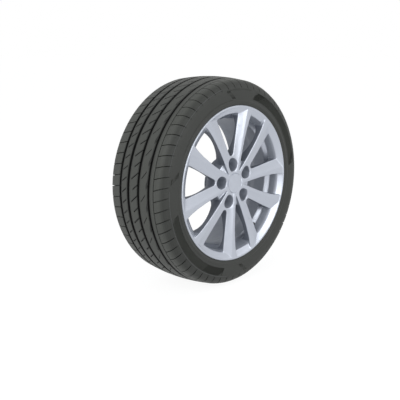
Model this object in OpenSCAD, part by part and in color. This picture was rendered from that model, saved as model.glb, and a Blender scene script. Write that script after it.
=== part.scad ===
// Road car wheel: a low-profile asymmetric tyre mounted on a ten-spoke cast alloy wheel, with its
// centre cap and its snap-in air valve.
//
// The wheel stands upright on its tread. The spin axis is Y, the street face looks to -Y and the
// origin is the wheel's centre. Each piece is drawn lying down, with its own z towards the street,
// and upright() stands it up. Angles run anticlockwise from +X as seen from the street.

/* [Tyre] */
// Outside diameter of the tyre at the middle of the tread
tyre_d = 634.4; // [630:0.2:640]
// Width over the two sidewalls
section_w = 230; // [228:1:236]
// Half width of the nearly flat part of the tread
tread_half = 85; // [82:1:88]
// How far the tread falls from its middle to the edge of its flat part
crown_drop = 6.4; // [4:0.2:8]
// Diameter at which the sidewalls are widest
widest_d = 547.904; // [540:0.001:556]
// Depth of the grooves around the tread
groove_depth = 7.6; // [5:0.1:8]
// Depth of the slots across the two shoulders
slot_depth = 5; // [2:0.1:6]
// Width of the slots across the two shoulders
slot_w = 2.4; // [1.5:0.1:4]
// Pitches of the tread pattern around the tyre, an even number
pitch_count = 62; // [54:2:70]
// Thickness of the rubber under the tread, groove bottoms included
tread_thick = 15; // [13:0.5:18]
// Thickness of the sidewall at its widest
sidewall_thick = 9; // [7:0.5:11]
// Flat that the wheel's own weight presses into the tread where it stands
contact_sink = 1; // [0.5:0.1:1.5]

/* [Rim] */
// Diameter of the bead seats
bead_d = 436.6; // [436:0.2:437]
// Width between the insides of the two flanges
rim_w = 203.2; // [203.2]
// Height of a flange over the bead seat
flange_h = 17.3; // [16.5:0.1:17.5]
// Outside diameter of the drop well
well_d = 401; // [396:1:404]
// Inside diameter of the barrel at the drop well
well_bore_d = 388; // [384:1:390]

/* [Face] */
// Height of the face's apex over the middle of the rim, towards the street
face_z = 103.5; // [102:0.5:105]
// Climb of the ridges for each millimetre outwards
ridge_rise = 0.0356; // [0.03:0.0002:0.04]
// Angle between a pair's middle line and each of its two ridges
ridge_angle = 21.5; // [20:0.5:23]
// Angle of the first pair of spokes, whose lug hole is on its middle line
first_pair = 27; // [0:1:72]
// Half width of a window within a pair, at the ring
pair_half = 49.6; // [44:0.2:51]
// Radius of a window's rounded end within a pair
pair_tip_r = 9.4; // [7:0.1:11]
// Distance of that rounded end from the axis
pair_tip = 86.5; // [84:0.5:92]
// Half width of a window between pairs, at the ring
between_half = 34; // [30:0.5:36]
// Distance of its pointed end from the axis
between_tip = 39; // [37:0.5:42]
// Inner edge of the ring that joins the spokes, from the axis
ring_r = 212; // [210:0.5:213]

/* [Hub] */
// Distance of the mounting face from the middle of the rim
offset_z = 45; // [42:1:48]
// Diameter of the mounting face
pad_d = 148; // [142:1:150]
// Diameter of the centre bore
bore_d = 66.5; // [64:0.1:67.1]
// Depth of the centre bore
bore_depth = 28; // [20:1:34]
// Number of lug holes
lug_count = 5; // [5]
// Diameter of the circle of lug holes
lug_circle = 112; // [110:1:114.3]
// Diameter of a lug hole below its seat
lug_d = 15; // [14:0.1:16]
// Diameter of a lug hole's pocket
pocket_d = 34; // [30:0.5:35]
// Thickness of metal from the mounting face to the top of a lug seat
seat_thick = 20; // [17:1:24]

/* [Centre cap] */
// Diameter of the cap's face
cap_d = 59.6; // [58:0.1:60]
// Diameter of the hole that its legs hold in
cap_hole_d = 54; // [52:0.5:55]
// Number of spring legs
cap_legs = 6; // [4:1:8]

/* [Valve] */
// Angle of the valve around the wheel
valve_angle = -55; // [-57:1:-35]
// Lean of the valve from the spin axis towards the hub
valve_lean = 40; // [38:1:42]
// Diameter of the valve's hole in the rim
valve_hole_d = 11.3; // [11:0.1:11.7]

/* [Hidden] */
$fn = 96;
clear = 0.15;

// Parts of the tyre
tyre_r = tyre_d / 2;
half_w = section_w / 2;
bead_r = bead_d / 2;
rim_half = rim_w / 2;
flange_r = bead_r + flange_h;
widest_r = widest_d / 2;
roll_r = 9.5;
roll_x = flange_r - roll_r;
roll_z = rim_half + roll_r;
lip_z = roll_z + 2.3;
pitch = 360 / pitch_count;
pattern_start = 170.4;

// Grooves around the tread, each as its place from the middle towards the street, and its width
grooves = [[-54, 8.5], [-18, 9.5], [23.5, 8], [62, 7]];
fine_groove = [79, 2.2];

// Sidewall panels, each as its first angle and its sweep
panels = [[5, 70], [191, 66]];
panel_in = widest_r - 17;
panel_out = widest_r + 7;

// Parts of the wheel
pair_angle = 360 / lug_count;
gap_rise = ridge_rise / cos(pair_angle / 2 - ridge_angle);
seat_z = offset_z + seat_thick;
lug_r = lug_circle / 2;
pad_r = pad_d / 2;
cap_r = cap_d / 2;
edge_r = flange_r - 7.6;
edge_z = lip_z - 2;
ring_z = edge_z - 8.4;

// The hollow between a pair's two ridges is part of a cone whose tip is the apex of the face. The
// cone holds both ridges, and its lowest line falls towards the rim.
trough_fall = 1.7;
ridge_y = tan(ridge_angle);
ridge_z = ridge_rise * sqrt(1 + ridge_y * ridge_y);
ridge_len = sqrt(1 + ridge_y * ridge_y + ridge_z * ridge_z);
trough_lean = atan((ridge_len * cos(trough_fall) - 1) / (ridge_z + ridge_len * sin(trough_fall)));
trough_half = trough_lean + trough_fall;
cap_seat_z = 101.2;

// The rim's sloping wall between its street edge and the well, as the radius and height of its ends.
// The valve stands on the middle of it.
slope_r = ring_r - 5;
slope_z = 75;
well_r = well_bore_d / 2;
well_z = 64;
valve_r = (slope_r + well_r) / 2;
valve_z = (slope_z + well_z) / 2;

// Points of an arc, from one angle to another
function arc(cx, cy, r, from, to, steps) =
    [for (i = [0:steps]) [cx + r * cos(from + (to - from) * i / steps),
                          cy + r * sin(from + (to - from) * i / steps)]];

// The same points with their second value turned over, in the opposite order
function mirrored(points) =
    [for (i = [len(points) - 1:-1:0]) [points[i][0], -points[i][1]]];

// Point of the unit circle at an angle
function turned(angle) = [cos(angle), sin(angle)];

// Radius of the tread's surface at a distance z from its middle
function crown_r(z) = tyre_r - crown_drop * pow(abs(z) / tread_half, 2);

module upright() rotate([90, 0, 0]) children();

// Section of the tyre's street half, from the middle of the tread to the bead and back inside
function tread_points() =
    [for (i = [1:6]) let (z = tread_half * i / 6) [crown_r(z), z]];
function shoulder_points() =
    let (rise = crown_r(tread_half) - widest_r, reach = half_w - tread_half)
    [for (a = [10:10:90]) [widest_r + rise * cos(a), tread_half + reach * sin(a)]];
function lower_wall_points() =
    [for (p = [[0.69, half_w - 0.2], [0.4, half_w - 0.8], [0.31, half_w + 0.4], [0.2, half_w],
               [0.1, lip_z - 0.6], [0.036, lip_z - 1]])
        [flange_r + p[0] * (widest_r - flange_r), p[1]]];
function bead_points() = concat(
    [for (a = [90:-15:0]) [roll_x + (roll_r + clear) * sin(a), roll_z - (roll_r + clear) * cos(a)]],
    [[bead_r + 2.2, rim_half - clear], [bead_r + 0.4, rim_half - 1.6],
     [bead_r + clear - 20 * tan(5), rim_half - 20.6], [bead_r + 0.4, rim_half - 22]]);
function inside_points() =
    let (z = tread_half - 11, top = crown_r(z) - tread_thick, wall = widest_r - bead_r)
    concat([[bead_r + wall * 0.16, rim_half - 15], [bead_r + wall * 0.36, rim_half - 5],
            [bead_r + wall * 0.61, rim_half + 2.4]],
           [for (a = [90:-15:0]) [widest_r + (top - widest_r) * cos(a),
                                  z + (half_w - sidewall_thick - z) * sin(a)]],
           [for (i = [4:-1:1]) [crown_r(z * i / 5) - tread_thick, z * i / 5]]);

module carcass() {
    half = concat(tread_points(), shoulder_points(), lower_wall_points(), bead_points(),
                  inside_points());
    rotate_extrude($fn = 180)
        polygon(concat([[tyre_r, 0]], half, [[tyre_r - tread_thick, 0]], mirrored(half)));
}

// Ring cut into the tread: width at the surface, narrower at the bottom
module groove(z, width, depth) {
    r = crown_r(z);
    rotate_extrude($fn = 180)
        polygon([[r - depth, z - width * 0.4], [r + 3, z - width * 0.56],
                 [r + 3, z + width * 0.56], [r - depth, z + width * 0.4]]);
}

// Thin upright cutter across the tread, from one place to the next, leaning along the tread
module slot(angle, from, to, depth, width, slant) {
    floor_r = crown_r((from + to) / 2) - depth;
    run = (to - from) / cos(slant);
    rotate([0, 0, angle]) translate([floor_r, 0, from]) rotate([slant, 0, 0])
        translate([0, -width / 2, 0]) cube([depth + 6, width, run]);
}

// Slot over a shoulder, which runs out on the sidewall
module shoulder_slot(angle, from, slant) {
    rise = crown_r(tread_half) - widest_r;
    reach = half_w - tread_half;
    lift = slot_depth;
    rotate([0, 0, angle]) translate([0, 0, from]) rotate([slant, 0, 0]) rotate([90, 0, 0])
        translate([0, -from]) linear_extrude(slot_w, center = true)
            polygon([[tyre_r + 4, from], [crown_r(from) - lift, from],
                     [crown_r(tread_half) - lift, tread_half],
                     [widest_r + (rise - lift) * cos(35), tread_half + (reach - lift) * sin(35)],
                     [widest_r + (rise - lift) * cos(55), tread_half + (reach - 2) * sin(55)],
                     [widest_r + rise * cos(72), tread_half + reach * sin(72) + 2],
                     [tyre_r + 4, half_w + 6]]);
}

// Shallow panel on the street sidewall, with slanted ends
module panel(from, sweep) {
    intersection() {
        rotate_extrude($fn = 180)
            polygon([[panel_in, half_w - 1.5], [panel_out, half_w - 1.5], [panel_out, half_w + 3],
                     [panel_in, half_w + 3]]);
        linear_extrude(half_w + 5)
            polygon(concat([bead_r * turned(from - 4)],
                           [for (i = [0:6]) (tyre_r + 10) * turned(from + 5 + (sweep - 10) * i / 6)],
                           [bead_r * turned(from + sweep + 4)]));
    }
}

module tyre() color("#484947") upright() difference() {
    carcass();
    for (g = grooves) groove(g[0], g[1], groove_depth);
    groove(fine_groove[0], fine_groove[1], 3);
    for (i = [0:pitch_count - 1]) {
        a = pattern_start + i * pitch;
        shoulder_slot(a, fine_groove[0], 19);
        mirror([0, 0, 1]) shoulder_slot(a - 5.4, 57, -10);
        slot(a - 2.4, -45, -28, 5.5, 1.6, 35);
        slot(a + (i % 2 == 0 ? 1.6 : 1), i % 2 == 0 ? -5 : 2, 22, 6, 1.8, 38);
    }
    for (i = [0:2:pitch_count - 2]) {
        a = pattern_start + i * pitch;
        slot(a + 0.6, 35, 50, 5.5, 1.3, 52);
        slot(a + 5.1, 55, 61, 6.5, 1.6, 70);
    }
    for (p = panels) panel(p[0], p[1]);
    translate([-tyre_r / 2, contact_sink - tyre_r * 1.1, -half_w])
        cube([tyre_r, tyre_r * 0.1, section_w]);
}

// Tyre side of a flange, the seat of its bead and the low hump behind the seat
function seat_points() = concat(
    [for (a = [90:-15:0]) [roll_x + roll_r * sin(a), roll_z - roll_r * cos(a)]],
    [[bead_r + 1.6, rim_half], [bead_r, rim_half - 2], [bead_r - 1.8, rim_half - 21.6],
     [bead_r - 0.5, rim_half - 25], [bead_r - 0.5, rim_half - 28]]);

// Section of the rim: street face, tyre side with the well, rear flange, then the bore side
function rim_points() = concat(
    [[ring_r, ring_z], [edge_r, edge_z], [edge_r + 0.8, lip_z - 0.3], [flange_r - 2, lip_z],
     [flange_r - 0.4, lip_z - 1]],
    seat_points(),
    [[bead_r - 3.9, rim_half - 29], [well_d / 2, well_z - 3], [well_d / 2, 24],
     [bead_r - 7.8, 3], [bead_r - 6.3, -30]],
    mirrored(seat_points()),
    [[flange_r - 0.4, 1 - lip_z], [flange_r - 2, -lip_z], [flange_r - 6.6, -lip_z],
     [flange_r - 14, 7.4 - lip_z], [bead_r - 6.8, 13.4 - lip_z], [bead_r - 8.8, -80],
     [bead_r - 12.8, -30], [bead_r - 14.3, 2], [well_r, 23], [well_r, well_z],
     [slope_r, slope_z], [slope_r + 2, 95]]);

module rim() rotate_extrude($fn = 180) polygon(rim_points());

// Middle of the casting: mounting pad, hub body, the sloping floor between the pairs, and in the
// middle the centre bore, the chamber of the cap's hooks, the hole of its legs and the seat of its face
module hub_body() rotate_extrude()
    polygon([[bore_d / 2, offset_z], [pad_r - 1, offset_z], [pad_r, offset_z + 1], [pad_r, 93],
             [31, 102.4], [cap_r + 0.2, 102.6], [cap_r + 0.2, cap_seat_z],
             [cap_hole_d / 2, cap_seat_z], [cap_hole_d / 2, 90], [29, 90],
             [29, offset_z + bore_depth], [bore_d / 2, offset_z + bore_depth]]);

// Dish that the spokes are cut from: level in front, a curved back
module face_dish() rotate_extrude($fn = 180)
    polygon([[cap_r + 0.2, lip_z + 0.6], [cap_r + 0.2, 95], [60, 60], [70, 51], [83, 65],
             [97, 76.5], [113, 83.5], [130, 88.5], [148, 92], [166, 93], [177, 92], [187, 89],
             [195, 84.5], [ring_r - 11, 79.5], [ring_r - 6, 74], [ring_r - 4, 70],
             [ring_r + 4, rim_half + 1], [edge_r + 1, edge_z - 1.4], [edge_r + 1, lip_z + 0.6]]);

// Everything in front of the plane that holds the two ridges on either side of a gap between pairs
module above_ridges() translate([0, 0, face_z]) rotate([0, -atan(gap_rise), 0])
    linear_extrude(30) polygon([[0, 0], [240, -240 * tan(33)], [240, 240 * tan(33)]]);

// Hollow between the two ridges of a pair
module trough() intersection() {
    start = 12;
    end = 230;
    translate([0, 0, face_z]) rotate([0, 90 - trough_lean, 0]) translate([0, 0, start])
        cylinder(h = end - start, r1 = start * tan(trough_half), r2 = end * tan(trough_half));
    linear_extrude(200) polygon([[0, 0], [240, -240 * tan(29)], [240, 240 * tan(29)]]);
}

// Window between the two spokes of a pair, with a rounded inner end
module pair_window() {
    side = atan((pair_half - pair_tip_r) / (ring_r - pair_tip - pair_tip_r));
    linear_extrude(200)
        polygon(concat(arc(pair_tip + pair_tip_r, 0, pair_tip_r, 90 + side, 270 - side, 8),
                       [[240, -pair_half - (240 - ring_r) * tan(side)],
                        [240, pair_half + (240 - ring_r) * tan(side)]]));
}

// Window between two pairs: its sides bow outwards from a point near the cap
function between_y(x) = x > 205 ? between_half :
    between_half * (1 - pow((205 - x) / (205 - between_tip), 1.5));
module between_window() {
    xs = [for (x = [between_tip + 0.4:12:205]) x];
    linear_extrude(200)
        polygon(concat([[between_tip, 0]], [for (x = xs) [x, between_y(x)]],
                       [[240, between_half], [240, -between_half]],
                       [for (i = [len(xs) - 1:-1:0]) [xs[i], -between_y(xs[i])]]));
}

// Turns a piece to each pair's middle line, or with half a step more to each gap between pairs
module around(half_steps = 0) for (i = [0:lug_count - 1])
    rotate([0, 0, first_pair + (i + half_steps / 2) * pair_angle]) children();

module spokes() difference() {
    difference() {
        difference() {
            face_dish();
            around() pair_window();
            around(1) between_window();
        }
        around(1) above_ridges();
    }
    around() trough();
}

// Lug hole: bore, conical seat, and a pocket whose outer side leans outwards
module lug_hole() translate([lug_r, 0, 0]) {
    translate([0, 0, offset_z - 1]) cylinder(h = seat_thick + 2, d = lug_d);
    translate([0, 0, seat_z - 6]) cylinder(h = 6.5, r1 = lug_d / 2 - 0.5, r2 = lug_d / 2 + 3.9);
    translate([-1, 0, seat_z]) cylinder(h = face_z - offset_z, d = pocket_d);
    translate([1, 0, seat_z + 2]) rotate([0, 5, 0])
        cylinder(h = face_z - offset_z, r1 = pocket_d / 2 - 3, r2 = pocket_d / 2 + 5);
}

module wheel() color("#b8bdc7") upright() difference() {
    union() {
        rim();
        hub_body();
        spokes();
    }
    around() lug_hole();
    around(1) translate([56, 0, offset_z - 1]) cylinder(h = 31, r = 11);
    on_valve() {
        translate([0, 0, -20]) cylinder(h = 60, d = valve_hole_d);
        translate([0, 0, -2.5]) cylinder(h = 16, r = 10.5);
    }
}

// Cap: domed face, short skirt and spring legs with hooks
module centre_cap() color("#b4b9c3") upright() {
    rotate_extrude() polygon([[0, cap_seat_z + 0.1], [cap_r - 1, cap_seat_z + 0.1],
                              [cap_r, cap_seat_z + 0.9], [cap_r, cap_seat_z + 2.2],
                              [cap_r - 0.7, cap_seat_z + 3], [cap_r * 0.6, cap_seat_z + 3.5],
                              [0, cap_seat_z + 3.7]]);
    rotate_extrude() polygon([[21.5, cap_seat_z - 5], [23.5, cap_seat_z - 5],
                              [23.5, cap_seat_z + 1], [21.5, cap_seat_z + 1]]);
    hole_r = cap_hole_d / 2;
    for (i = [0:cap_legs - 1]) rotate([0, 0, i * 360 / cap_legs])
        rotate_extrude(angle = 32) polygon([[hole_r - 2.6, cap_seat_z + 1],
            [hole_r - 0.2, cap_seat_z + 1], [hole_r - 0.2, 89.8], [hole_r + 1.2, 88.6],
            [hole_r - 0.6, 85.4], [hole_r - 2.6, 85.4]]);
}

module cap_spring_ring() color("#8d9096") upright() translate([0, 0, 88])
    rotate_extrude() translate([cap_hole_d / 2 - 3.6, 0]) circle(r = 0.8, $fn = 24);

// Place of the valve: z runs along it, with 0 at the street side of the rim's wall
module on_valve() rotate([0, 0, valve_angle]) translate([valve_r, 0, valve_z])
    rotate([0, -valve_lean, 0]) children();

module valve_rubber_body() color("#232425") upright() on_valve() rotate_extrude($fn = 48)
    polygon([[2.85, -10.6], [9, -10.6], [9.4, -9.6], [9, -8], [valve_hole_d / 2 - 0.15, -6.9],
             [valve_hole_d / 2 - 0.15, -2.3], [7.8, -2.3], [7.8, 0.4], [6.9, 3], [5.6, 9],
             [5.2, 19], [4.4, 20.8], [2.85, 20.8]]);

module valve_stem() color("#b59a5b") upright() on_valve() rotate_extrude($fn = 48)
    polygon([[1.6, -10.2], [2.8, -10.2], [2.8, 21], [3.4, 21.2], [3.85, 21.8], [3.85, 30.6],
             [3.4, 31], [2.4, 31], [2.4, 18.4], [1.6, 16.6]]);

module valve_core_barrel() color("#a98c4b") upright() on_valve() rotate_extrude($fn = 36)
    polygon([[1.1, 17.2], [1.5, 17.2], [1.5, 21.4], [2.25, 22], [2.25, 29.4], [0.75, 29.4],
             [0.75, 28.2], [1.1, 28.2]]);

module valve_core_washer() color("#d9d6cc") upright() on_valve() rotate_extrude($fn = 36)
    polygon([[1.6, 18.9], [2.2, 19.3], [2.2, 21.1], [1.6, 21.1]]);

module valve_core_pin() color("#9a9ca0") upright() on_valve() {
    translate([0, 0, 12.4]) cylinder(h = 17.6, r = 0.45, $fn = 24);
    translate([0, 0, 29.7]) cylinder(h = 0.6, r = 0.75, $fn = 24);
    translate([0, 0, 12.4]) cylinder(h = 0.8, r = 1.1, $fn = 24);
}

module valve_core_cup() color("#2b2b2c") upright() on_valve() rotate_extrude($fn = 36)
    polygon([[0.55, 13.3], [1.35, 13.3], [1.35, 15.6], [1.2, 17.1], [0.55, 17.1]]);

module valve_core_spring() color("#8f9196") upright() on_valve()
    translate([0, 0, 18.2]) linear_extrude(height = 8.6, twist = -1800, slices = 70, $fn = 8)
        translate([0.78, 0]) circle(r = 0.17, $fn = 8);

module valve_dust_cap() color("#1e1f20") upright() on_valve() difference() {
    union() {
        translate([0, 0, 22.2]) cylinder(h = 10.3, r = 4.75, $fn = 48);
        translate([0, 0, 32.5]) cylinder(h = 1, r1 = 4.75, r2 = 3.9, $fn = 48);
    }
    translate([0, 0, 22]) cylinder(h = 9.6, r = 4, $fn = 48);
    for (a = [0:30:359]) rotate([0, 0, a]) translate([5.1, 0, 24]) cylinder(h = 12, r = 0.7);
}

tyre();
wheel();
centre_cap();
cap_spring_ring();
valve_rubber_body();
valve_stem();
valve_core_barrel();
valve_core_washer();
valve_core_pin();
valve_core_cup();
valve_core_spring();
valve_dust_cap();
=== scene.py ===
# Looks of a road car wheel: a tyre mounted on a silver alloy wheel, on a plain pale floor.
#
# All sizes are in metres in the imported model's own frame: Y is the spin axis, with the street face
# towards -Y, Z is up, and the origin is the wheel's centre. Angles around the wheel run from +X
# towards +Z, which is anticlockwise as seen from the street.

import math

import bmesh
import bpy
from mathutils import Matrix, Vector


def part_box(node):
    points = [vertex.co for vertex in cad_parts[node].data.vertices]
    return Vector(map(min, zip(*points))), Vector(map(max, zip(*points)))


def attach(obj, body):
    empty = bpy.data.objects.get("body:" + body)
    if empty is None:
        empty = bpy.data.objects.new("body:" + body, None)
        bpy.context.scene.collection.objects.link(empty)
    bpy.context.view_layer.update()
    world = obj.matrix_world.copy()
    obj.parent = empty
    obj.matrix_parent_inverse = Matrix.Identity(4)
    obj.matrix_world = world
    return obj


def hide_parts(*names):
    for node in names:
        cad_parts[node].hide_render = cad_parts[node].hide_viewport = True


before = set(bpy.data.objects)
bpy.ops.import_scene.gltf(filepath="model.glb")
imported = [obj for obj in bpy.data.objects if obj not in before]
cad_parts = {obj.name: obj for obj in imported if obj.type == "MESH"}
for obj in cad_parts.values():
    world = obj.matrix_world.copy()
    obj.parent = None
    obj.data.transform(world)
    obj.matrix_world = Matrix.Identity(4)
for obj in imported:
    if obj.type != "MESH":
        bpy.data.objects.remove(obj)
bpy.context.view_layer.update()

bl_info = {
    "name": "Alloy wheel with tyre",
    "version": (1, 1, 0),
    "blender": (4, 5, 0),
    "location": "3D View > Sidebar > Wheel",
    "description": "Finishes a tyre on an alloy wheel and sets the stage around it",
    "category": "Object",
}

MM = 0.001
BODY = "root"

# The tyre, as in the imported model: its radius, half of the tread's width, and how far the tread
# falls from its middle to its edge
TYRE_R = 317.2 * MM
TREAD_HALF = 85 * MM
CROWN_DROP = 6.4 * MM
# The four grooves: place along the axis from the tread's middle towards the street, and width
GROOVES = ((-54 * MM, 8.5 * MM), (-18 * MM, 9.5 * MM), (23.5 * MM, 8 * MM), (62 * MM, 7 * MM))
# Painted shade along a groove's edge: how far it reaches on to the rib, and its share of the black
EDGE_FADE = 5 * MM
EDGE_SHADE = 0.75
# A point gets the grooves' painted shade once it lies this far beneath the tread: none of it, all of
# it
SUNK = (0.4 * MM, 1.8 * MM)
# The tread's edge turns into the sidewall this far from the tyre's middle: start, end
WALL_START = (TREAD_HALF + 8 * MM, TREAD_HALF + 22 * MM)
# The tread's pattern comes 62 times, from this angle in degrees
PITCH = 360 / 62
PATTERN_START = 170.4
# Slanted slots: first angle, pitches from one to the next, the two ends along the axis from the
# tread's middle towards the street, the slant, and the width with its rounded edges
SLOTS = (
    (PATTERN_START - 2.4, 1, -46 * MM, -27 * MM, 35, 3.6 * MM),
    (PATTERN_START + 1.6, 2, -6 * MM, 23 * MM, 38, 4.0 * MM),
    (PATTERN_START + PITCH + 1, 2, 1 * MM, 23 * MM, 38, 4.0 * MM),
    (PATTERN_START + 0.6, 2, 34 * MM, 51 * MM, 52, 2.0 * MM),
    (PATTERN_START + 4.6, 2, 52 * MM, 63 * MM, 72, 4.4 * MM),
)
# Painted shade beside a slot, in shares of the slot's half width: where it ends, where it is full
SLOT_FADE = (1.5, 0.7)

# The wheel's finish, each pair from none of it to all of it. Silver goes on by the Y part of a
# face's normal, where it looks at the street; faces turned from it get a grey of painted shade.
SILVER_FACING = (-0.12, -0.55)
# Painted shade fills the lug pockets; silver starts further from the axis or nearer the street
POCKET_SHADE_R = (74 * MM, 77 * MM)
POCKET_SHADE_Y = (-84 * MM, -90 * MM)
# The side walls of the spokes, with a darker painted shade, lie this near to the street, and within
# this distance of the axis
SPOKE_WALL_Y = (-72 * MM, -86 * MM)
SPOKE_WALL_R = (206 * MM, 202 * MM)


# Colours and nodes

def linear(hex_colour):
    """Linear RGBA of an sRGB hex value."""
    parts = [int(hex_colour[i:i + 2], 16) / 255 for i in (1, 3, 5)]
    return [c / 12.92 if c <= 0.04045 else ((c + 0.055) / 1.055) ** 2.4 for c in parts] + [1.0]


def add(tree, kind, settings=None, links=None):
    """Adds a node. Settings that name an input set its value, and links join outputs to inputs."""
    node = tree.nodes.new(kind)
    for key, value in (settings or {}).items():
        if isinstance(key, str) and hasattr(node, key):
            setattr(node, key, value)
        else:
            node.inputs[key].default_value = value
    for key, source in (links or {}).items():
        tree.links.new(source, node.inputs[key])
    return node


def new_material(name):
    """An empty node material and its tree."""
    material = bpy.data.materials.new(name)
    material.use_nodes = True
    material.node_tree.nodes.clear()
    return material, material.node_tree


def finish_material(tree, shader):
    """Ends a material's tree in its shader."""
    add(tree, "ShaderNodeOutputMaterial", None, {"Surface": shader})


def from_axis(tree, xyz):
    """Distance of a point from the spin axis."""
    flat = add(tree, "ShaderNodeCombineXYZ", None, {"X": xyz.outputs["X"], "Y": xyz.outputs["Z"]})
    return add(tree, "ShaderNodeVectorMath", {"operation": "LENGTH"},
               {0: flat.outputs[0]}).outputs["Value"]


# Masks of the tread

def beneath_tread(tree, xyz, aside):
    """How far a point lies beneath the tread, which falls by the square of the way to its edge."""
    share = add(tree, "ShaderNodeMath", {"operation": "DIVIDE", 1: TREAD_HALF},
                {0: aside.outputs[0]})
    square = add(tree, "ShaderNodeMath", {"operation": "POWER", 1: 2.0}, {0: share.outputs[0]})
    crown = add(tree, "ShaderNodeMath", {"operation": "MULTIPLY_ADD", 1: -CROWN_DROP, 2: TYRE_R},
                {0: square.outputs[0]})
    return add(tree, "ShaderNodeMath", {"operation": "SUBTRACT"},
               {0: crown.outputs[0], 1: from_axis(tree, xyz)}).outputs[0]


def rib_edge_shade(tree, xyz):
    """Painted shade on the ribs' edges, where they are rounded down to the four grooves."""
    across = add(tree, "ShaderNodeMapRange", {"From Min": -TREAD_HALF, "From Max": TREAD_HALF},
                 {"Value": xyz.outputs["Y"]})
    edges = add(tree, "ShaderNodeValToRGB", None, {"Fac": across.outputs["Result"]})
    stops = edges.color_ramp.elements
    for middle, width in GROOVES:
        for away, level in ((width / 2 + EDGE_FADE, 0.0), (width / 2, EDGE_SHADE)):
            for side in (-1, 1):
                stop = stops.new((TREAD_HALF - middle + side * away) / (2 * TREAD_HALF))
                stop.color = (level, level, level, 1.0)
    for end in (stops[0], stops[-1]):
        end.color = (0.0, 0.0, 0.0, 1.0)
    return edges.outputs["Color"]


def slot_edge_shade(tree, angle, along, start, every, low, high, slant, width):
    """Painted shade on the rounded edges of a family of slanted slots."""
    step = math.radians(every * PITCH)
    lean = math.tan(math.radians(slant)) / (TYRE_R * step)
    # Steps from the first slot, with each slot's lean taken out, then the way to the nearest slot
    turns = add(tree, "ShaderNodeMath", {"operation": "MULTIPLY_ADD", 1: 1 / step,
                                         2: 0.5 - math.radians(start) / step - low * lean},
                {0: angle})
    steps = add(tree, "ShaderNodeMath", {"operation": "MULTIPLY_ADD", 1: -lean},
                {0: along, 2: turns.outputs[0]})
    near = add(tree, "ShaderNodeMath", {"operation": "FRACT"}, {0: steps.outputs[0]})
    off = add(tree, "ShaderNodeMath", {"operation": "SUBTRACT", 1: 0.5}, {0: near.outputs[0]})
    off = add(tree, "ShaderNodeMath", {"operation": "ABSOLUTE"}, {0: off.outputs[0]})
    half = width / 2 / math.cos(math.radians(slant)) / (TYRE_R * step)
    beside = add(tree, "ShaderNodeMapRange",
                 {"From Min": half * SLOT_FADE[0], "From Max": half * SLOT_FADE[1]},
                 {"Value": off.outputs[0]})
    within = add(tree, "ShaderNodeMath", {"operation": "COMPARE", 1: -(low + high) / 2,
                                          2: (high - low) / 2}, {0: along})
    return add(tree, "ShaderNodeMath", {"operation": "MULTIPLY"},
               {0: beside.outputs["Result"], 1: within.outputs[0]}).outputs[0]


def tread_masks(tree, place):
    """How much painted shade a point gets in and beside the grooves and slots,
    and how far it is on the sidewalls, each from 0 to 1.
    """
    xyz = add(tree, "ShaderNodeSeparateXYZ", None, {0: place})
    aside = add(tree, "ShaderNodeMath", {"operation": "ABSOLUTE"}, {0: xyz.outputs["Y"]})
    sunk = add(tree, "ShaderNodeMapRange", {"From Min": SUNK[0], "From Max": SUNK[1]},
               {"Value": beneath_tread(tree, xyz, aside)})
    # Painted shade: a point's depth in a groove, and the edges of the ribs and slots beside it
    dark = add(tree, "ShaderNodeMath", {"operation": "MAXIMUM"},
               {0: rib_edge_shade(tree, xyz), 1: sunk.outputs["Result"]})
    angle = add(tree, "ShaderNodeMath", {"operation": "ARCTAN2"},
                {0: xyz.outputs["Z"], 1: xyz.outputs["X"]})
    for start, every, low, high, slant, width in SLOTS:
        dark = add(tree, "ShaderNodeMath", {"operation": "MAXIMUM"}, {
            0: dark.outputs[0],
            1: slot_edge_shade(tree, angle.outputs[0], xyz.outputs["Y"], start, every, low, high,
                          slant, width)})
    within = add(tree, "ShaderNodeMath", {"operation": "LESS_THAN", 1: TREAD_HALF},
                 {0: aside.outputs[0]})
    groove_shade = add(tree, "ShaderNodeMath", {"operation": "MULTIPLY"},
                 {0: dark.outputs[0], 1: within.outputs[0]})
    wall = add(tree, "ShaderNodeMapRange", {"interpolation_type": "SMOOTHSTEP",
                                            "From Min": WALL_START[0],
                                            "From Max": WALL_START[1]},
               {"Value": aside.outputs[0]})
    return groove_shade.outputs[0], wall.outputs["Result"]


# Materials

def vulcanised_rubber(name, dark, light, wall, groove_shade, roughness):
    """Carbon-black rubber cured in a polished mould: matt, with a faint bloom and a fine grain.
    The sidewalls are darker than the tread, and painted shade darkens the grooves and the edges
    beside them."""
    material, tree = new_material(name)
    place = add(tree, "ShaderNodeTexCoord").outputs["Object"]
    # Bloom of oils in clouds of about 60 mm, which greys the black a little here and there
    cloudy = add(tree, "ShaderNodeTexNoise", {"Scale": 16.0, "Detail": 4.0}, {"Vector": place})
    colour = add(tree, "ShaderNodeMix",
                 {"data_type": "RGBA", 6: linear(dark), 7: linear(light)},
                 {"Factor": cloudy.outputs["Fac"]})
    groove_shaded, on_wall = tread_masks(tree, place)
    for mask, hex_colour in ((on_wall, wall), (groove_shaded, groove_shade)):
        colour = add(tree, "ShaderNodeMix", {"data_type": "RGBA", 7: linear(hex_colour)},
                     {"Factor": mask, 6: colour.outputs["Result"]})
    # Mould grain of about 0.6 mm, a little coarser than the real one, so that it can show
    grain = add(tree, "ShaderNodeTexNoise", {"Scale": 1600.0, "Detail": 2.0}, {"Vector": place})
    bump = add(tree, "ShaderNodeBump", {"Strength": 0.2, "Distance": 0.0002},
               {"Height": grain.outputs["Fac"]})
    # Where the bloom is heavier, it takes some of the gloss as well
    rough = add(tree, "ShaderNodeMapRange",
                {"To Min": roughness - 0.07, "To Max": roughness + 0.07},
                {"Value": cloudy.outputs["Fac"]})
    shader = add(tree, "ShaderNodeBsdfPrincipled", {"IOR": 1.52, "Specular IOR Level": 0.4},
                 {"Base Color": colour.outputs["Result"], "Normal": bump.outputs["Normal"],
                  "Roughness": rough.outputs["Result"]})
    finish_material(tree, shader.outputs["BSDF"])
    return material


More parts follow.
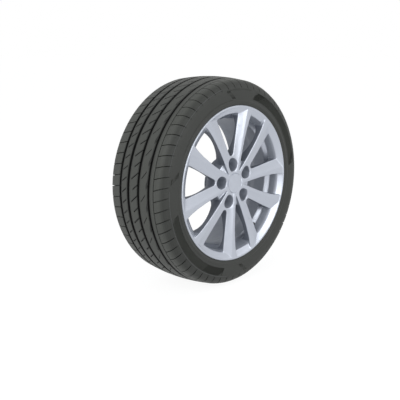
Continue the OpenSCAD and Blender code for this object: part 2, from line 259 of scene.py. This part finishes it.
def silver_lacquer(settings):
    """Cast aluminium sprayed silver on the faces that look at the street, and a dull grey as
    painted shade on the walls, in the barrel and down the lug pockets."""
    material, tree = new_material("silver_lacquer_on_cast_aluminium")
    coords = add(tree, "ShaderNodeTexCoord")
    place = coords.outputs["Object"]
    normal = add(tree, "ShaderNodeSeparateXYZ", None, {0: coords.outputs["Normal"]})
    xyz = add(tree, "ShaderNodeSeparateXYZ", None, {0: place})
    # Silver in full where a face looks at the street, and hardly where it looks sideways, where
    # painted shade takes over
    facing = add(tree, "ShaderNodeMapRange",
                 {"interpolation_type": "SMOOTHSTEP", "From Min": SILVER_FACING[0],
                  "From Max": SILVER_FACING[1]}, {"Value": normal.outputs["Y"]})
    # Painted shade down the lug pockets, where no silver goes
    radius = from_axis(tree, xyz)
    outside = add(tree, "ShaderNodeMapRange",
                  {"From Min": POCKET_SHADE_R[0], "From Max": POCKET_SHADE_R[1]}, {"Value": radius})
    in_front = add(tree, "ShaderNodeMapRange",
                   {"From Min": POCKET_SHADE_Y[0], "From Max": POCKET_SHADE_Y[1]},
                   {"Value": xyz.outputs["Y"]})
    past_pocket_shade = add(tree, "ShaderNodeMath", {"operation": "MAXIMUM"},
                    {0: outside.outputs["Result"], 1: in_front.outputs["Result"]})
    painted = add(tree, "ShaderNodeMath", {"operation": "MULTIPLY"},
                  {0: facing.outputs["Result"], 1: past_pocket_shade.outputs[0]})
    # Metal flakes of about 0.5 mm, drawn coarser than the real ones, so that they can show
    flakes = add(tree, "ShaderNodeTexVoronoi", {"Scale": 2200.0}, {"Vector": place})
    silver = add(tree, "ShaderNodeMix",
                 {"data_type": "RGBA", 6: linear(settings.silver_colour_a),
                  7: linear(settings.silver_colour_b)}, {"Factor": flakes.outputs["Distance"]})
    # The grey of the painted shade changes at random in clouds of about 25 mm
    cloudy = add(tree, "ShaderNodeTexNoise", {"Scale": 40.0, "Detail": 3.0}, {"Vector": place})
    painted_shade = add(tree, "ShaderNodeMix",
                 {"data_type": "RGBA", 6: linear(settings.painted_shade_colour_a),
                  7: linear(settings.painted_shade_colour_b)}, {"Factor": cloudy.outputs["Fac"]})
    # A darker painted shade on the walls between the spokes
    deep = add(tree, "ShaderNodeMapRange",
               {"From Min": SPOKE_WALL_Y[0], "From Max": SPOKE_WALL_Y[1]},
               {"Value": xyz.outputs["Y"]})
    within_rim = add(tree, "ShaderNodeMapRange",
                     {"From Min": SPOKE_WALL_R[0], "From Max": SPOKE_WALL_R[1]},
                     {"Value": radius})
    spoke_wall_shade = add(tree, "ShaderNodeMath", {"operation": "MULTIPLY"},
                 {0: deep.outputs["Result"], 1: outside.outputs["Result"]})
    spoke_wall_shade = add(tree, "ShaderNodeMath", {"operation": "MULTIPLY"},
                 {0: spoke_wall_shade.outputs[0], 1: within_rim.outputs["Result"]})
    painted_shade = add(tree, "ShaderNodeMix", {"data_type": "RGBA", 7: linear(settings.wall_colour)},
                 {"Factor": spoke_wall_shade.outputs[0], 6: painted_shade.outputs["Result"]})
    colour = add(tree, "ShaderNodeMix", {"data_type": "RGBA"},
                 {"Factor": painted.outputs[0], 6: painted_shade.outputs["Result"],
                  7: silver.outputs["Result"]})
    # The painted shade is matt, and the silver is mostly flakes of metal
    metal = add(tree, "ShaderNodeMapRange", {"To Min": 0.1, "To Max": 0.82},
                {"Value": painted.outputs[0]})
    rough = add(tree, "ShaderNodeMapRange", {"To Min": 0.62, "To Max": 0.31},
                {"Value": painted.outputs[0]})
    shader = add(tree, "ShaderNodeBsdfPrincipled", {"Coat Weight": 0.15, "Coat Roughness": 0.1},
                 {"Base Color": colour.outputs["Result"], "Roughness": rough.outputs["Result"],
                  "Metallic": metal.outputs["Result"]})
    finish_material(tree, shader.outputs["BSDF"])
    return material


def plain_finish(name, hex_a, hex_b, roughness, metallic=0.0):
    """A small piece's finish, whose colour and gloss change a little in clouds of about 17 mm."""
    material, tree = new_material(name)
    place = add(tree, "ShaderNodeTexCoord").outputs["Object"]
    cloudy = add(tree, "ShaderNodeTexNoise", {"Scale": 60.0, "Detail": 3.0}, {"Vector": place})
    colour = add(tree, "ShaderNodeMix", {"data_type": "RGBA", 6: linear(hex_a), 7: linear(hex_b)},
                 {"Factor": cloudy.outputs["Fac"]})
    rough = add(tree, "ShaderNodeMapRange",
                {"To Min": roughness - 0.05, "To Max": roughness + 0.05},
                {"Value": cloudy.outputs["Fac"]})
    shader = add(tree, "ShaderNodeBsdfPrincipled", {"Metallic": metallic},
                 {"Base Color": colour.outputs["Result"], "Roughness": rough.outputs["Result"]})
    finish_material(tree, shader.outputs["BSDF"])
    return material


# Making of pieces

def dress(node, material):
    """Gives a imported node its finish."""
    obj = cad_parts[node]
    obj.data.materials.clear()
    obj.data.materials.append(material)
    return obj


def link_mesh(name, mesh):
    """A new object in the scene with the mesh."""
    obj = bpy.data.objects.new(name, mesh)
    bpy.context.scene.collection.objects.link(obj)
    return obj


def settle(obj, kind, **settings):
    """Runs one modifier on an object and keeps its result as the object's plain mesh."""
    modifier = obj.modifiers.new(kind, kind)
    for key, value in settings.items():
        setattr(modifier, key, value)
    graph = bpy.context.evaluated_depsgraph_get()
    mesh = bpy.data.meshes.new_from_object(obj.evaluated_get(graph))
    obj.modifiers.remove(modifier)
    obj.data = mesh
    return obj


def triangles(mesh):
    """How many triangles a mesh comes to."""
    return sum(len(face.vertices) - 2 for face in mesh.polygons)


def softened_casting(name, node, grid, rounds, most):
    """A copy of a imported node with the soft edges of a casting. The copy is merged, given an even
    grid, smoothed in rounds, and thinned where it is flat to the most triangles it may have."""
    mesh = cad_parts[node].data.copy()
    work = bmesh.new()
    work.from_mesh(mesh)
    bmesh.ops.remove_doubles(work, verts=work.verts, dist=0.002 * MM)
    work.to_mesh(mesh)
    work.free()
    obj = link_mesh(name, mesh)
    settle(obj, "REMESH", mode="VOXEL", voxel_size=grid, adaptivity=0.0)
    settle(obj, "SMOOTH", factor=0.5, iterations=rounds)
    settle(obj, "DECIMATE", ratio=min(1.0, most / triangles(obj.data)))
    obj.data.shade_smooth()
    return obj


def node_tree(name, inputs):
    """A Geometry Nodes tree with named inputs, with its input and output nodes."""
    tree = bpy.data.node_groups.new(name, "GeometryNodeTree")
    for label, kind in [("Geometry", "Geometry")] + inputs + [("Material", "Material")]:
        tree.interface.new_socket(label, in_out="INPUT", socket_type="NodeSocket" + kind)
    tree.interface.new_socket("Geometry", in_out="OUTPUT", socket_type="NodeSocketGeometry")
    return tree, add(tree, "NodeGroupInput").outputs


def close_tree(tree, geometry, material):
    """Ends a tree in real geometry with its material."""
    real = add(tree, "GeometryNodeRealizeInstances", None, {"Geometry": geometry})
    painted = add(tree, "GeometryNodeSetMaterial", None,
                  {"Geometry": real.outputs[0], "Material": material})
    add(tree, "NodeGroupOutput", None, {"Geometry": painted.outputs[0]})
    return tree


def grown(name, tree, values):
    """Runs a Geometry Nodes tree and keeps the result as a plain mesh in the scene."""
    holder = link_mesh(name + "_holder", bpy.data.meshes.new(name + "_holder"))
    modifier = holder.modifiers.new("nodes", "NODES")
    modifier.node_group = tree
    for item in tree.interface.items_tree:
        if item.item_type == "SOCKET" and item.in_out == "INPUT" and item.name in values:
            modifier[item.identifier] = values[item.name]
    graph = bpy.context.evaluated_depsgraph_get()
    mesh = bpy.data.meshes.new_from_object(holder.evaluated_get(graph))
    holder.modifiers.remove(modifier)
    bpy.data.objects.remove(holder)
    mesh.name = name
    if not mesh.polygons:
        raise RuntimeError(name + " came out empty")
    return link_mesh(name, mesh)


def point_at(tree, angle, radius, depth):
    """Point on a circle around the spin axis, from its angle, radius and place along the axis."""
    across = add(tree, "ShaderNodeMath", {"operation": "COSINE"}, {0: angle})
    up = add(tree, "ShaderNodeMath", {"operation": "SINE"}, {0: angle})
    unit = add(tree, "ShaderNodeCombineXYZ", None, {"X": across.outputs[0], "Z": up.outputs[0]})
    spoke = add(tree, "ShaderNodeVectorMath", {"operation": "SCALE"},
                {0: unit.outputs[0], "Scale": radius})
    place = add(tree, "ShaderNodeCombineXYZ", None, {"Y": depth})
    return add(tree, "ShaderNodeVectorMath", {"operation": "ADD"},
               {0: spoke.outputs[0], 1: place.outputs[0]}).outputs[0]


def rib_tree():
    """Fine ribs side by side around the sidewall, each from an inner circle to an outer one."""
    tree, given = node_tree("sidewall_ribs", [
        ("Count", "Int"), ("Inner Radius", "Float"), ("Outer Radius", "Float"),
        ("Inner Start", "Float"), ("Inner End", "Float"), ("Outer Start", "Float"),
        ("Outer End", "Float"), ("Depth", "Float"), ("Height", "Float"), ("Width", "Float")])
    last = add(tree, "ShaderNodeMath", {"operation": "SUBTRACT", 1: 1.0}, {0: given["Count"]})
    index = add(tree, "GeometryNodeInputIndex").outputs[0]
    ends = []
    for side in ("Inner", "Outer"):
        angle = add(tree, "ShaderNodeMapRange", None,
                    {"Value": index, "From Max": last.outputs[0],
                     "To Min": given[side + " Start"], "To Max": given[side + " End"]})
        ends.append(point_at(tree, angle.outputs["Result"], given[side + " Radius"],
                             given["Depth"]))
    along = add(tree, "ShaderNodeVectorMath", {"operation": "SUBTRACT"}, {0: ends[1], 1: ends[0]})
    length = add(tree, "ShaderNodeVectorMath", {"operation": "LENGTH"}, {0: along.outputs[0]})
    row = add(tree, "GeometryNodeMeshLine", None, {"Count": given["Count"]})
    row = add(tree, "GeometryNodeSetPosition", None,
              {"Geometry": row.outputs[0], "Position": ends[0]})
    # A three-sided bar from its foot upwards: scaled to height, width and length, then laid down
    bar = add(tree, "GeometryNodeMeshCylinder", {"Vertices": 3, "Radius": 1.0, "Depth": 1.0})
    bar = add(tree, "GeometryNodeTransform", {"Translation": (0, 0, 0.5)},
              {"Geometry": bar.outputs["Mesh"]})
    crest = add(tree, "FunctionNodeAlignRotationToVector", {"axis": "X", "Vector": (0, -1, 0)})
    lay = add(tree, "FunctionNodeAlignRotationToVector", {"axis": "Z", "pivot_axis": "X"},
              {"Rotation": crest.outputs[0], "Vector": along.outputs[0]})
    width = add(tree, "ShaderNodeMath", {"operation": "DIVIDE", 1: math.sqrt(3)},
                {0: given["Width"]})
    size = add(tree, "ShaderNodeCombineXYZ", None,
               {"X": given["Height"], "Y": width.outputs[0], "Z": length.outputs["Value"]})
    ribs = add(tree, "GeometryNodeInstanceOnPoints", None,
               {"Points": row.outputs[0], "Instance": bar.outputs[0],
                "Rotation": lay.outputs[0], "Scale": size.outputs[0]})
    return close_tree(tree, ribs.outputs[0], given["Material"])


def line_tree():
    """A raised line around part of the sidewall, half sunk into it."""
    tree, given = node_tree("sidewall_line", [
        ("Steps", "Int"), ("Radius", "Float"), ("Start", "Float"), ("Sweep", "Float"),
        ("Depth", "Float"), ("Thickness", "Float")])
    arc = add(tree, "GeometryNodeCurveArc", None,
              {"Resolution": given["Steps"], "Radius": given["Radius"],
               "Start Angle": given["Start"], "Sweep Angle": given["Sweep"]})
    place = add(tree, "ShaderNodeCombineXYZ", None, {"Y": given["Depth"]})
    arc = add(tree, "GeometryNodeTransform", {"Rotation": (math.pi / 2, 0, 0)},
              {"Geometry": arc.outputs[0], "Translation": place.outputs[0]})
    half = add(tree, "ShaderNodeMath", {"operation": "MULTIPLY", 1: 0.5}, {0: given["Thickness"]})
    round_section = add(tree, "GeometryNodeCurvePrimitiveCircle", {"Resolution": 6},
                        {"Radius": half.outputs[0]})
    line = add(tree, "GeometryNodeCurveToMesh", {"Fill Caps": True},
               {"Curve": arc.outputs[0], "Profile Curve": round_section.outputs[0]})
    return close_tree(tree, line.outputs[0], given["Material"])


# Settings

class TyreSettings(bpy.types.PropertyGroup):
    rubber_colour_a: bpy.props.StringProperty(
        name="Tread, dark", description="sRGB hex value of the tread", default="#434541")
    rubber_colour_b: bpy.props.StringProperty(
        name="Tread, light", description="sRGB hex value of the tread where it blooms",
        default="#4d4f4b")
    wall_colour: bpy.props.StringProperty(
        name="Sidewall", description="sRGB hex value of the waxed sidewall", default="#2c2e2b")
    # Painted shade in the grooves and along the edges of the ribs and slots
    groove_shade_colour: bpy.props.StringProperty(
        name="Grooves", description="sRGB hex value of the unworn grooves", default="#141514")
    rib_colour: bpy.props.StringProperty(
        name="Ribs", description="sRGB hex value of the ribbed fields", default="#393b37")
    end_colour: bpy.props.StringProperty(
        name="Ends of ribs", description="sRGB hex value of the fields' ends and of the bars",
        default="#2a2c28")
    # Painted highlight: the lighter colour of the two raised lines near the tread
    line_highlight_colour: bpy.props.StringProperty(
        name="Raised edges", description="sRGB hex value of the raised lines that scuff first",
        default="#454746")
    rib_pitch: bpy.props.FloatProperty(
        name="Rib pitch", description="Distance between two ribs at the middle of a panel",
        unit="LENGTH", subtype="DISTANCE", default=1.3 * MM, min=0.8 * MM, max=3 * MM)


class WheelSettings(bpy.types.PropertyGroup):
    silver_colour_a: bpy.props.StringProperty(
        name="Silver", description="sRGB hex value of the base coat", default="#aeb3bd")
    silver_colour_b: bpy.props.StringProperty(
        name="Silver flakes", description="sRGB hex value of the base coat's flakes",
        default="#babfc9")
    # The grey of the painted shade on faces turned from the street, in the barrel and in the lug
    # pockets
    painted_shade_colour_a: bpy.props.StringProperty(
        name="Primer", description="sRGB hex value of the primer", default="#8c919b")
    painted_shade_colour_b: bpy.props.StringProperty(
        name="Primer, dusted", description="sRGB hex value of the primer under overspray",
        default="#9ca2ac")
    # A darker painted shade on the walls between the spokes
    wall_colour: bpy.props.StringProperty(
        name="Spoke walls", description="sRGB hex value of the primer between the spokes",
        default="#6b707a")
    grid: bpy.props.FloatProperty(
        name="Edge grid", description="Grid that the cast wheel's edges are softened with",
        unit="LENGTH", subtype="DISTANCE", default=1.1 * MM, min=0.8 * MM, max=4 * MM)


class StageSettings(bpy.types.PropertyGroup):
    azimuth: bpy.props.FloatProperty(
        name="Azimuth", description="Turn of the camera around the wheel", subtype="ANGLE",
        default=math.radians(-47.22))
    elevation: bpy.props.FloatProperty(
        name="Elevation", description="Height of the camera over the wheel's centre",
        subtype="ANGLE", default=math.radians(11.09))
    distance: bpy.props.FloatProperty(
        name="Distance", description="From the camera to the wheel's centre", subtype="DISTANCE",
        unit="LENGTH", default=2.0849)
    lens: bpy.props.FloatProperty(
        name="Lens", description="Focal length in millimetres", unit="CAMERA", default=60.15)
    floor_colour: bpy.props.StringProperty(
        name="Floor", description="sRGB hex value of the floor", default="#fafafa")


# Operators

class WHEEL_OT_stage(bpy.types.Operator):
    """Camera, lamps, backdrop and floor"""
    bl_idname = "wheel.stage"
    bl_label = "Stage"

    # The camera's film is 36 mm wide, and its frame is shifted by these shares of its width
    FILM = 36
    SHIFT = (-0.0245, -0.053)
    # Lamps: name, place, width and height in metres, and power in watts. The soft box in front
    # gives the facets that lean to the left their bright sheen.
    LAMPS = (
        ("soft_box", (0.05, -3.0, 0.72), (2.5, 2.05), 35),
        ("right_high", (2.0, -1.9, 1.65), (1.6, 1.6), 5),
        ("left", (-3.0, -0.6, 1.9), (2.2, 2.2), 34),
    )
    # The backdrop's light on the wheel: a little cooler than white, and its strength
    SKY = ("#f4f6fa", 0.5)
    # Half of the floor's side in metres. The floor glows to white for the rays that show it, at a
    # strength and a share that leave the wheel's shadow on it.
    FLOOR_HALF = 40.0
    GLOW = 1.12
    GLOW_SHARE = 0.82

    def execute(self, context):
        s = context.scene.stage_settings
        self.camera(context, s)
        self.lamps(context)
        self.backdrop(context)
        self.floor(context, s)
        context.scene.view_settings.view_transform = "Standard"
        return {"FINISHED"}

    def camera(self, context, s):
        data = bpy.data.cameras.new("camera")
        data.lens = s.lens
        data.sensor_width = self.FILM
        data.shift_x, data.shift_y = self.SHIFT
        camera = bpy.data.objects.new("camera", data)
        context.scene.collection.objects.link(camera)
        a, e = s.azimuth, s.elevation
        back = (math.sin(a) * math.cos(e), -math.cos(a) * math.cos(e), math.sin(e))
        camera.location = [s.distance * c for c in back]
        camera.rotation_euler = (math.pi / 2 - e, 0, a)
        context.scene.camera = camera

    def lamps(self, context):
        for name, place, size, power in self.LAMPS:
            data = bpy.data.lights.new(name, "AREA")
            data.shape = "RECTANGLE"
            data.size, data.size_y = size
            data.energy = power
            lamp = bpy.data.objects.new(name, data)
            context.scene.collection.objects.link(lamp)
            lamp.location = place
            lamp.rotation_euler = (-lamp.location).to_track_quat("-Z", "Y").to_euler()

    def backdrop(self, context):
        world = bpy.data.worlds.new("soft_light")
        context.scene.world = world
        world.use_nodes = True
        tree = world.node_tree
        tree.nodes.clear()
        colour, strength = self.SKY
        light = add(tree, "ShaderNodeBackground", {"Color": linear(colour), "Strength": strength})
        white = add(tree, "ShaderNodeBackground", {"Color": (1, 1, 1, 1), "Strength": 1.0})
        mix = add(tree, "ShaderNodeMixShader", None,
                  {0: self.seen(tree), 1: light.outputs[0], 2: white.outputs[0]})
        add(tree, "ShaderNodeOutputWorld", None, {"Surface": mix.outputs[0]})

    def seen(self, tree):
        """1 for rays that show the background: from the camera, off gloss or through glass."""
        path = add(tree, "ShaderNodeLightPath")
        seen = add(tree, "ShaderNodeMath", {"operation": "MAXIMUM"},
                   {0: path.outputs["Is Camera Ray"], 1: path.outputs["Is Glossy Ray"]})
        return add(tree, "ShaderNodeMath", {"operation": "MAXIMUM"},
                   {0: seen.outputs[0], 1: path.outputs["Is Transmission Ray"]}).outputs[0]

    def floor(self, context, s):
        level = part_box("tyre")[0].z
        mesh = bpy.data.meshes.new("floor")
        half = self.FLOOR_HALF
        mesh.from_pydata([(-half, -half, level), (half, -half, level), (half, half, level),
                          (-half, half, level)], [], [(0, 1, 2, 3)])
        floor = bpy.data.objects.new("floor", mesh)
        context.scene.collection.objects.link(floor)
        # Matt paint, so that no mirror image of the tyre lies on the floor
        material, tree = new_material("painted_studio_floor")
        shade = add(tree, "ShaderNodeBsdfPrincipled",
                    {"Base Color": linear(s.floor_colour), "Roughness": 0.9,
                     "Specular IOR Level": 0.1})
        glow = add(tree, "ShaderNodeEmission", {"Color": (1, 1, 1, 1), "Strength": self.GLOW})
        share = add(tree, "ShaderNodeMath", {"operation": "MULTIPLY", 1: self.GLOW_SHARE},
                    {0: self.seen(tree)})
        mix = add(tree, "ShaderNodeMixShader", None,
                  {0: share.outputs[0], 1: shade.outputs[0], 2: glow.outputs[0]})
        finish_material(tree, mix.outputs[0])
        mesh.materials.append(material)


class WHEEL_OT_tyre(bpy.types.Operator):
    """The tyre, with the ribbed panels and mould lines of its sidewall"""
    bl_idname = "wheel.tyre"
    bl_label = "Tyre"

    # Ribbed fields on the street sidewall: first and last angle on the inner and on the outer
    # circle in degrees, the two radii, and the ribs' place along the axis towards the street, in
    # millimetres
    FIELDS = (
        ("panel_ribs_a", (7.9, 69.0), (14.8, 62.8), (257.6, 280.6), 113.6),
        ("panel_ribs_b", (187.8, 240.0), (196.0, 236.4), (257.6, 280.6), 113.6),
        ("panel_end_a", (1.8, 7.7), (10.0, 14.6), (257.6, 280.6), 113.6),
        ("panel_end_b", (69.2, 78.2), (63.0, 70.0), (257.6, 280.6), 113.6),
        ("panel_end_c", (240.2, 260.2), (236.6, 252.0), (257.6, 280.6), 113.6),
        ("bar_ribs_a", (92.6, 95.6), (97.6, 100.6), (256.0, 281.0), 114.4),
        ("bar_ribs_b", (271.6, 274.6), (276.6, 279.6), (256.0, 281.0), 114.4),
        ("bar_ribs_c", (164.6, 167.6), (169.6, 172.6), (256.0, 281.0), 114.4),
    )
    # Height of a rib, and the share of the pitch that its foot takes
    RIB_HEIGHT = 0.7 * MM
    RIB_SHARE = 0.92
    # Raised lines: radius, first angle, sweep, place along the axis and thickness, in degrees and
    # millimetres
    LINES = (
        ("line_a", 253.0, 96.0, 56.0, 114.2, 1.6),
        ("line_b", 282.5, 78.0, 22.0, 114.2, 2.2),
        ("edge_line_a", 283.6, 176.0, 84.0, 113.3, 2.4),
        ("edge_line_b", 290.6, 104.0, 62.0, 111.2, 2.4),
    )
    LINE_STEPS = 48

    def execute(self, context):
        s = context.scene.tyre_settings
        dress("tyre", vulcanised_rubber("vulcanised_rubber", s.rubber_colour_a,
                                        s.rubber_colour_b, s.wall_colour, s.groove_shade_colour, 0.6))
        # An etched part of the mould makes the ribs and raised lines duller than the tyre. The two
        # raised lines near the tread get a lighter colour, a painted highlight.
        ribbed, dark, line_highlight = [
            vulcanised_rubber("vulcanised_rubber_" + name, s.rubber_colour_a, s.rubber_colour_b,
                              colour, s.groove_shade_colour, 0.7)
            for name, colour in (("ribbed", s.rib_colour), ("dull", s.end_colour),
                                 ("highlit", s.line_highlight_colour))]
        tree = rib_tree()
        for name, inner, outer, radii, stand in self.FIELDS:
            middle = sum(radii) / 2 * MM
            sweep = (inner[1] - inner[0] + outer[1] - outer[0]) / 2
            count = max(2, round(math.radians(sweep) * middle / s.rib_pitch) + 1)
            self.keep(grown(name, tree, {
                "Count": count, "Inner Radius": radii[0] * MM, "Outer Radius": radii[1] * MM,
                "Inner Start": math.radians(inner[0]), "Inner End": math.radians(inner[1]),
                "Outer Start": math.radians(outer[0]), "Outer End": math.radians(outer[1]),
                "Depth": -stand * MM, "Height": self.RIB_HEIGHT,
                "Width": s.rib_pitch * self.RIB_SHARE,
                "Material": ribbed if name.startswith("panel_ribs") else dark}))
        tree = line_tree()
        for name, radius, start, sweep, stand, thickness in self.LINES:
            self.keep(grown(name, tree, {
                "Steps": self.LINE_STEPS, "Radius": radius * MM, "Start": math.radians(start),
                "Sweep": math.radians(sweep), "Depth": -stand * MM,
                "Thickness": thickness * MM,
                "Material": line_highlight if name.startswith("edge") else dark}))
        return {"FINISHED"}

    def keep(self, obj):
        """Fixes a piece of the sidewall on the wheel."""
        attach(obj, BODY)


class WHEEL_OT_alloy(bpy.types.Operator):
    """The cast wheel with the soft edges that its mould gives it"""
    bl_idname = "wheel.alloy"
    bl_label = "Alloy wheel"

    ROUNDS = 12
    MOST = 190000
    QUICK_GRID = 2.6 * MM

    def execute(self, context):
        s = context.scene.wheel_settings
        grid = s.grid
        wheel = softened_casting("cast_wheel", "wheel", grid, self.ROUNDS, self.MOST)
        wheel.data.materials.clear()
        wheel.data.materials.append(silver_lacquer(s))
        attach(wheel, BODY)
        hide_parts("wheel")
        return {"FINISHED"}


class WHEEL_OT_cap(bpy.types.Operator):
    """The centre cap and its wire ring"""
    bl_idname = "wheel.cap"
    bl_label = "Centre cap"

    def execute(self, context):
        # The wheel's own silver, sprayed on moulded ABS: even all over, with a clean sheen
        dress("centre_cap", plain_finish("silver_lacquer_on_moulded_abs", "#b1b6c0", "#bcc1cb",
                                         0.3, 0.7))
        # Steel wire pulled through a die: bright grey, with a narrow highlight along it
        dress("cap_spring_ring", plain_finish("drawn_steel_wire", "#85888e", "#95989e", 0.3, 1.0))
        return {"FINISHED"}


class WHEEL_OT_valve(bpy.types.Operator):
    """The air valve, inside and out"""
    bl_idname = "wheel.valve"
    bl_label = "Air valve"

    def execute(self, context):
        # Rubber from a plain steel mould: near black, with a soft sheen
        rubber = plain_finish("moulded_epdm_rubber", "#222324", "#2a2b2c", 0.55)
        # Brass cut on a lathe: a warm yellow, bright from every side
        brass = plain_finish("turned_brass", "#b08f4c", "#c2a25e", 0.3, 1.0)
        # The same steel as in the cap's ring, drawn thinner
        wire = plain_finish("drawn_steel_wire_fine", "#85888e", "#95989e", 0.3, 1.0)
        dress("valve_rubber_body", rubber)
        dress("valve_core_cup", rubber)
        dress("valve_stem", brass)
        dress("valve_core_barrel", brass)
        dress("valve_core_pin", wire)
        dress("valve_core_spring", wire)
        # PTFE cut from a sintered bar: a waxy off-white
        dress("valve_core_washer", plain_finish("sintered_ptfe", "#d5d2c8", "#dedbd2", 0.4))
        # Plastic from a fine-etched mould: black with a satin gloss
        dress("valve_dust_cap", plain_finish("moulded_polypropylene", "#1b1c1d", "#242526", 0.5))
        return {"FINISHED"}


class WHEEL_PT_panel(bpy.types.Panel):
    """Lists the operators"""
    bl_idname = "WHEEL_PT_panel"
    bl_label = "Wheel"
    bl_space_type = "VIEW_3D"
    bl_region_type = "UI"
    bl_category = "Wheel"

    def draw(self, context):
        for operator in OPERATORS:
            self.layout.operator(operator.bl_idname)


OPERATORS = (WHEEL_OT_stage, WHEEL_OT_tyre, WHEEL_OT_alloy, WHEEL_OT_cap, WHEEL_OT_valve)
SETTINGS = (("tyre_settings", TyreSettings), ("wheel_settings", WheelSettings),
            ("stage_settings", StageSettings))


def register():
    for name, group in SETTINGS:
        bpy.utils.register_class(group)
        setattr(bpy.types.Scene, name, bpy.props.PointerProperty(type=group))
    for operator in OPERATORS:
        bpy.utils.register_class(operator)
    bpy.utils.register_class(WHEEL_PT_panel)


def unregister():
    bpy.utils.unregister_class(WHEEL_PT_panel)
    for operator in reversed(OPERATORS):
        bpy.utils.unregister_class(operator)
    for name, group in reversed(SETTINGS):
        delattr(bpy.types.Scene, name)
        bpy.utils.unregister_class(group)


def main():
    """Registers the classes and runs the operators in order."""
    register()
    bpy.ops.wheel.stage()
    bpy.ops.wheel.tyre()
    bpy.ops.wheel.alloy()
    bpy.ops.wheel.cap()
    bpy.ops.wheel.valve()


if __name__ == "__main__":
    main()
